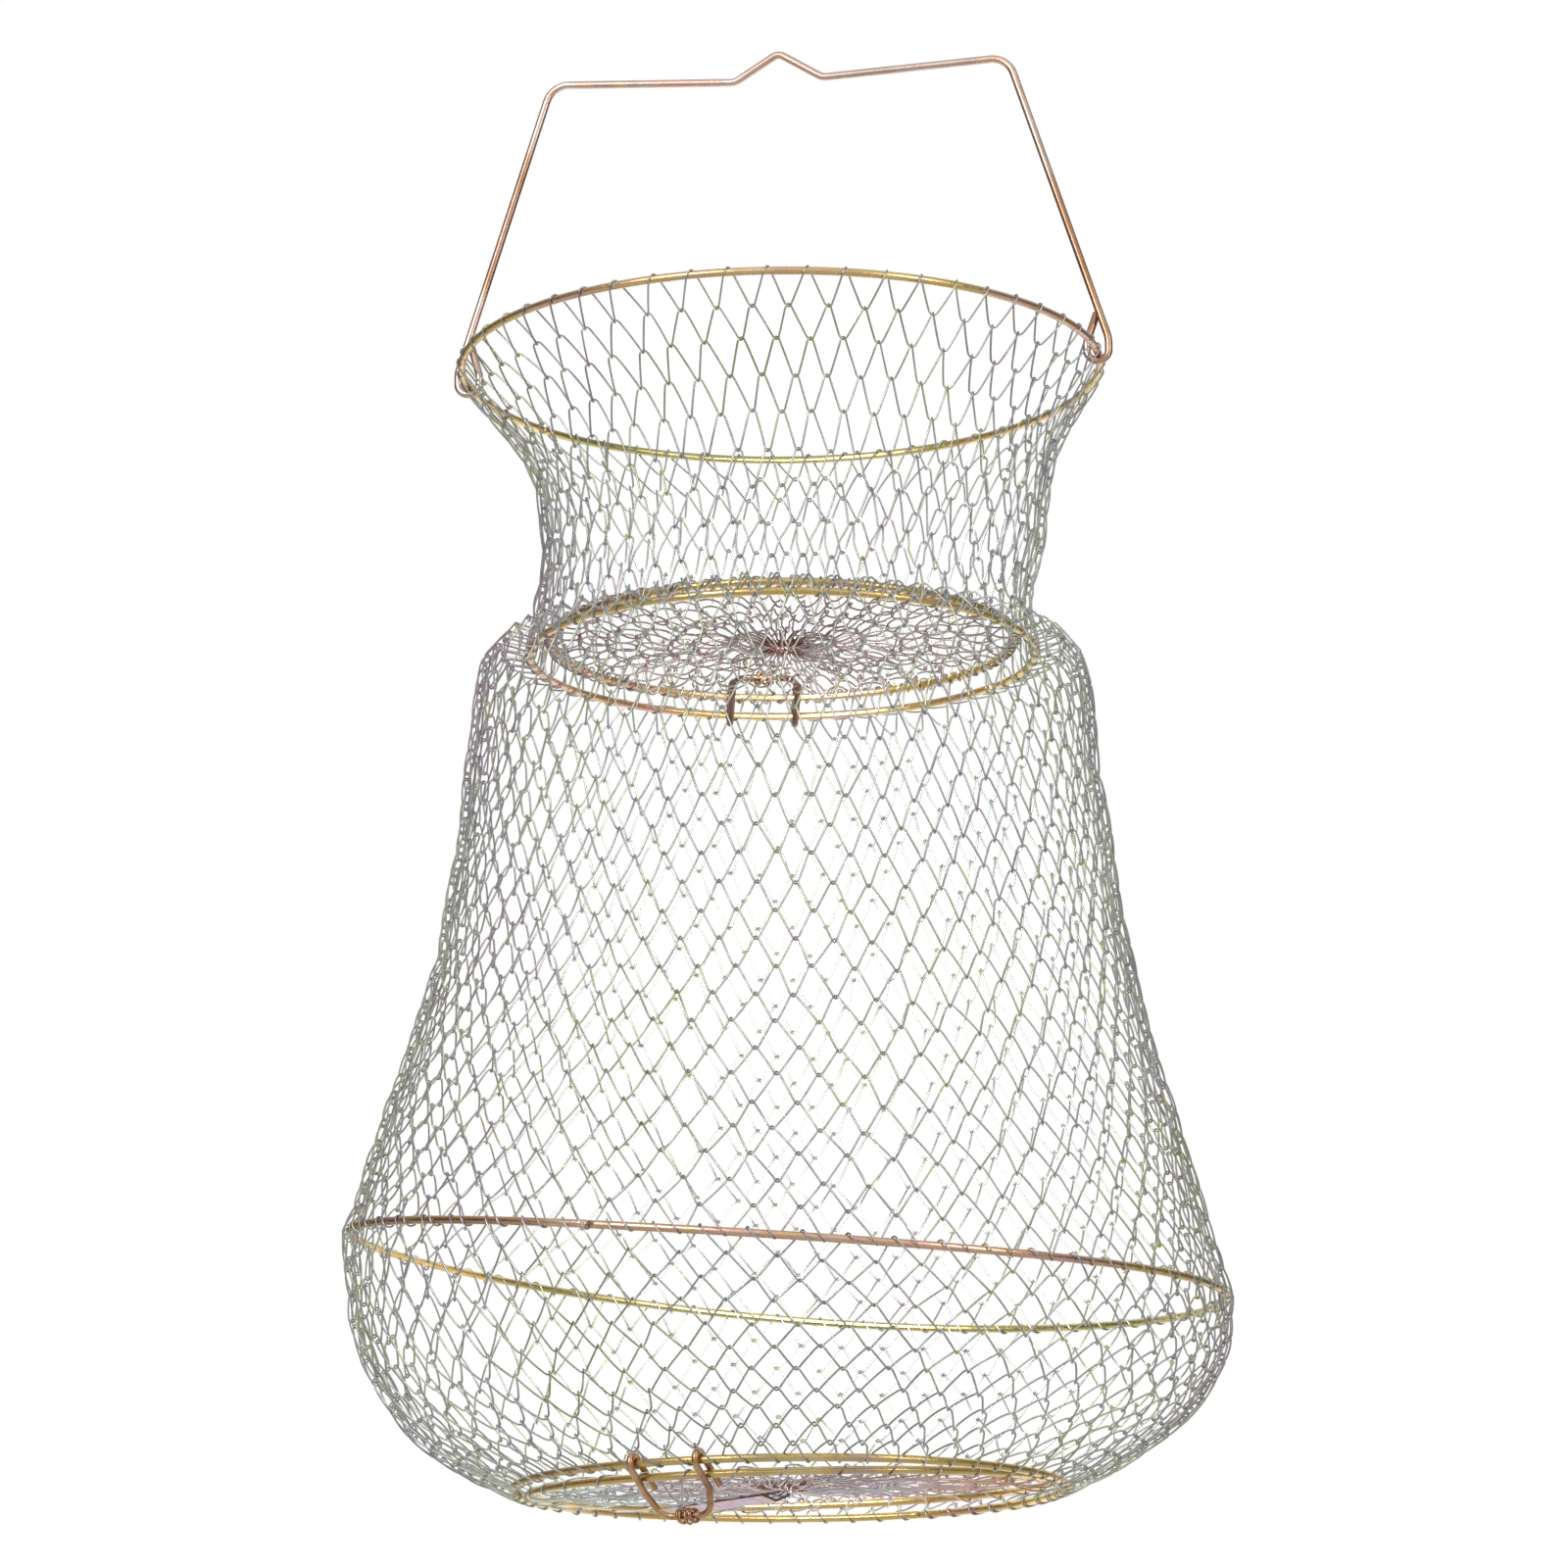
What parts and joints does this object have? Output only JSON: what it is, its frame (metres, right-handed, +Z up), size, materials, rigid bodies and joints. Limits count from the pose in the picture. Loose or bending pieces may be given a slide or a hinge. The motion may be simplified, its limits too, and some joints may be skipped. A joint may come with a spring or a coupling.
{
  "type": "folding crab trap",
  "caption": "Collapsible wire netting basket for crabs or fish, with a funnel mouth, a sprung inward door at its neck, a wide belly, a bottom door and a hanging handle.",
  "frame": {"origin": "the point the trap hangs from, on the underside of the V in the middle of the handle's bar", "axes": "+Z up, +X along the handle's bar, the funnel mouth faces up"},
  "size_m": [0.333, 0.333, 0.5871],
  "materials": {
    "handle_wire": "zinc plated steel wire, iridescent yellow chromate, gold to copper",
    "ring_wire": "zinc plated steel wire, iridescent yellow chromate, gold to rose",
    "hinge_wire": "zinc plated steel wire, darker copper brown chromate",
    "tie_wire": "thin zinc plated wire",
    "gathered_wire": "drawn together netting wire, reddish brown",
    "plate_sheet": "zinc plated sheet, lilac to orange chromate",
    "door_netting": "thin zinc plated netting wire, grey with reddish brown",
    "wall_netting": "thin zinc plated netting wire, grey with olive and violet tints"
  },
  "bodies": {
    "handle": {"handle": "handle_wire"},
    "mouth": {"mouth_ring": "ring_wire", "funnel_net_1": "wall_netting"},
    "funnel_band_2": {"funnel_net_2": "wall_netting"},
    "funnel_band_3": {"funnel_net_3": "wall_netting"},
    "neck": {"neck_ring": "ring_wire", "funnel_net_4": "wall_netting", "shoulder_net": "wall_netting", "bell_net_1": "wall_netting"},
    "bell_band_2": {"bell_net_2": "wall_netting"},
    "bell_band_3": {"bell_net_3": "wall_netting"},
    "bell_band_4": {"bell_net_4": "wall_netting"},
    "bell_band_5": {"bell_net_5": "wall_netting"},
    "belly": {"belly_ring": "ring_wire", "bell_net_6": "wall_netting", "bowl_net_1": "wall_netting"},
    "bowl_band_2": {"bowl_net_2": "wall_netting"},
    "base": {"bottom_ring": "ring_wire", "bowl_net_3": "wall_netting"},
    "top_door": {"top_door_ring": "ring_wire", "top_door_net": "door_netting", "top_door_gather": "gathered_wire", "top_door_hinge_wire": "hinge_wire", "top_door_tie": "tie_wire"},
    "bottom_door": {"bottom_door_ring": "ring_wire", "bottom_door_net": "door_netting", "bottom_door_gather": "gathered_wire", "bottom_door_hinge_wire": "hinge_wire", "bottom_door_tie": "tie_wire", "bottom_door_plate": "plate_sheet"}
  },
  "joints": [
    {"name": "handle_swing", "type": "hinge", "parent": "handle", "child": "mouth", "pos_m": [0, 0, -0.132], "axis": [1, 0, 0], "range_deg": [-60, 60]},
    {"name": "funnel_fold", "type": "slide", "parent": "mouth", "child": "funnel_band_2", "axis": [0, 0, 1], "range_m": [0, 0.02]},
    {"name": "funnel_fold_2", "type": "slide", "parent": "funnel_band_2", "child": "funnel_band_3", "axis": [0, 0, 1], "range_m": [0, 0.02]},
    {"name": "funnel_fold_3", "type": "slide", "parent": "funnel_band_3", "child": "neck", "axis": [0, 0, 1], "range_m": [0, 0.02]},
    {"name": "bell_fold", "type": "slide", "parent": "neck", "child": "bell_band_2", "axis": [0, 0, 1], "range_m": [0, 0.04]},
    {"name": "bell_fold_2", "type": "slide", "parent": "bell_band_2", "child": "bell_band_3", "axis": [0, 0, 1], "range_m": [0, 0.04]},
    {"name": "bell_fold_3", "type": "slide", "parent": "bell_band_3", "child": "bell_band_4", "axis": [0, 0, 1], "range_m": [0, 0.04]},
    {"name": "bell_fold_4", "type": "slide", "parent": "bell_band_4", "child": "bell_band_5", "axis": [0, 0, 1], "range_m": [0, 0.04]},
    {"name": "bell_fold_5", "type": "slide", "parent": "bell_band_5", "child": "belly", "axis": [0, 0, 1], "range_m": [0, 0.04]},
    {"name": "bowl_fold", "type": "slide", "parent": "belly", "child": "bowl_band_2", "axis": [0, 0, 1], "range_m": [0, 0.024]},
    {"name": "bowl_fold_2", "type": "slide", "parent": "bowl_band_2", "child": "base", "axis": [0, 0, 1], "range_m": [0, 0.024]},
    {"name": "top_door_hinge", "type": "hinge", "parent": "neck", "child": "top_door", "pos_m": [-0.02328, 0.09337, -0.244], "axis": [-0.9703, -0.2419, 0], "range_deg": [-80, 0], "stiffness_Nm_per_rad": 0.15, "springref_deg": 57.3},
    {"name": "bottom_door_hinge", "type": "hinge", "parent": "base", "child": "bottom_door", "pos_m": [-0.02871, -0.09817, -0.5645], "axis": [-0.9598, 0.2807, 0], "range_deg": [0, 100], "stiffness_Nm_per_rad": 0.15, "springref_deg": -57.3}
  ],
  "couplings": [
    {"joint": "funnel_fold_2", "follows": "funnel_fold", "ratio": 1},
    {"joint": "funnel_fold_3", "follows": "funnel_fold", "ratio": 1},
    {"joint": "bell_fold_2", "follows": "bell_fold", "ratio": 1},
    {"joint": "bell_fold_3", "follows": "bell_fold", "ratio": 1},
    {"joint": "bell_fold_4", "follows": "bell_fold", "ratio": 1},
    {"joint": "bell_fold_5", "follows": "bell_fold", "ratio": 1},
    {"joint": "bowl_fold_2", "follows": "bowl_fold", "ratio": 1}
  ]
}
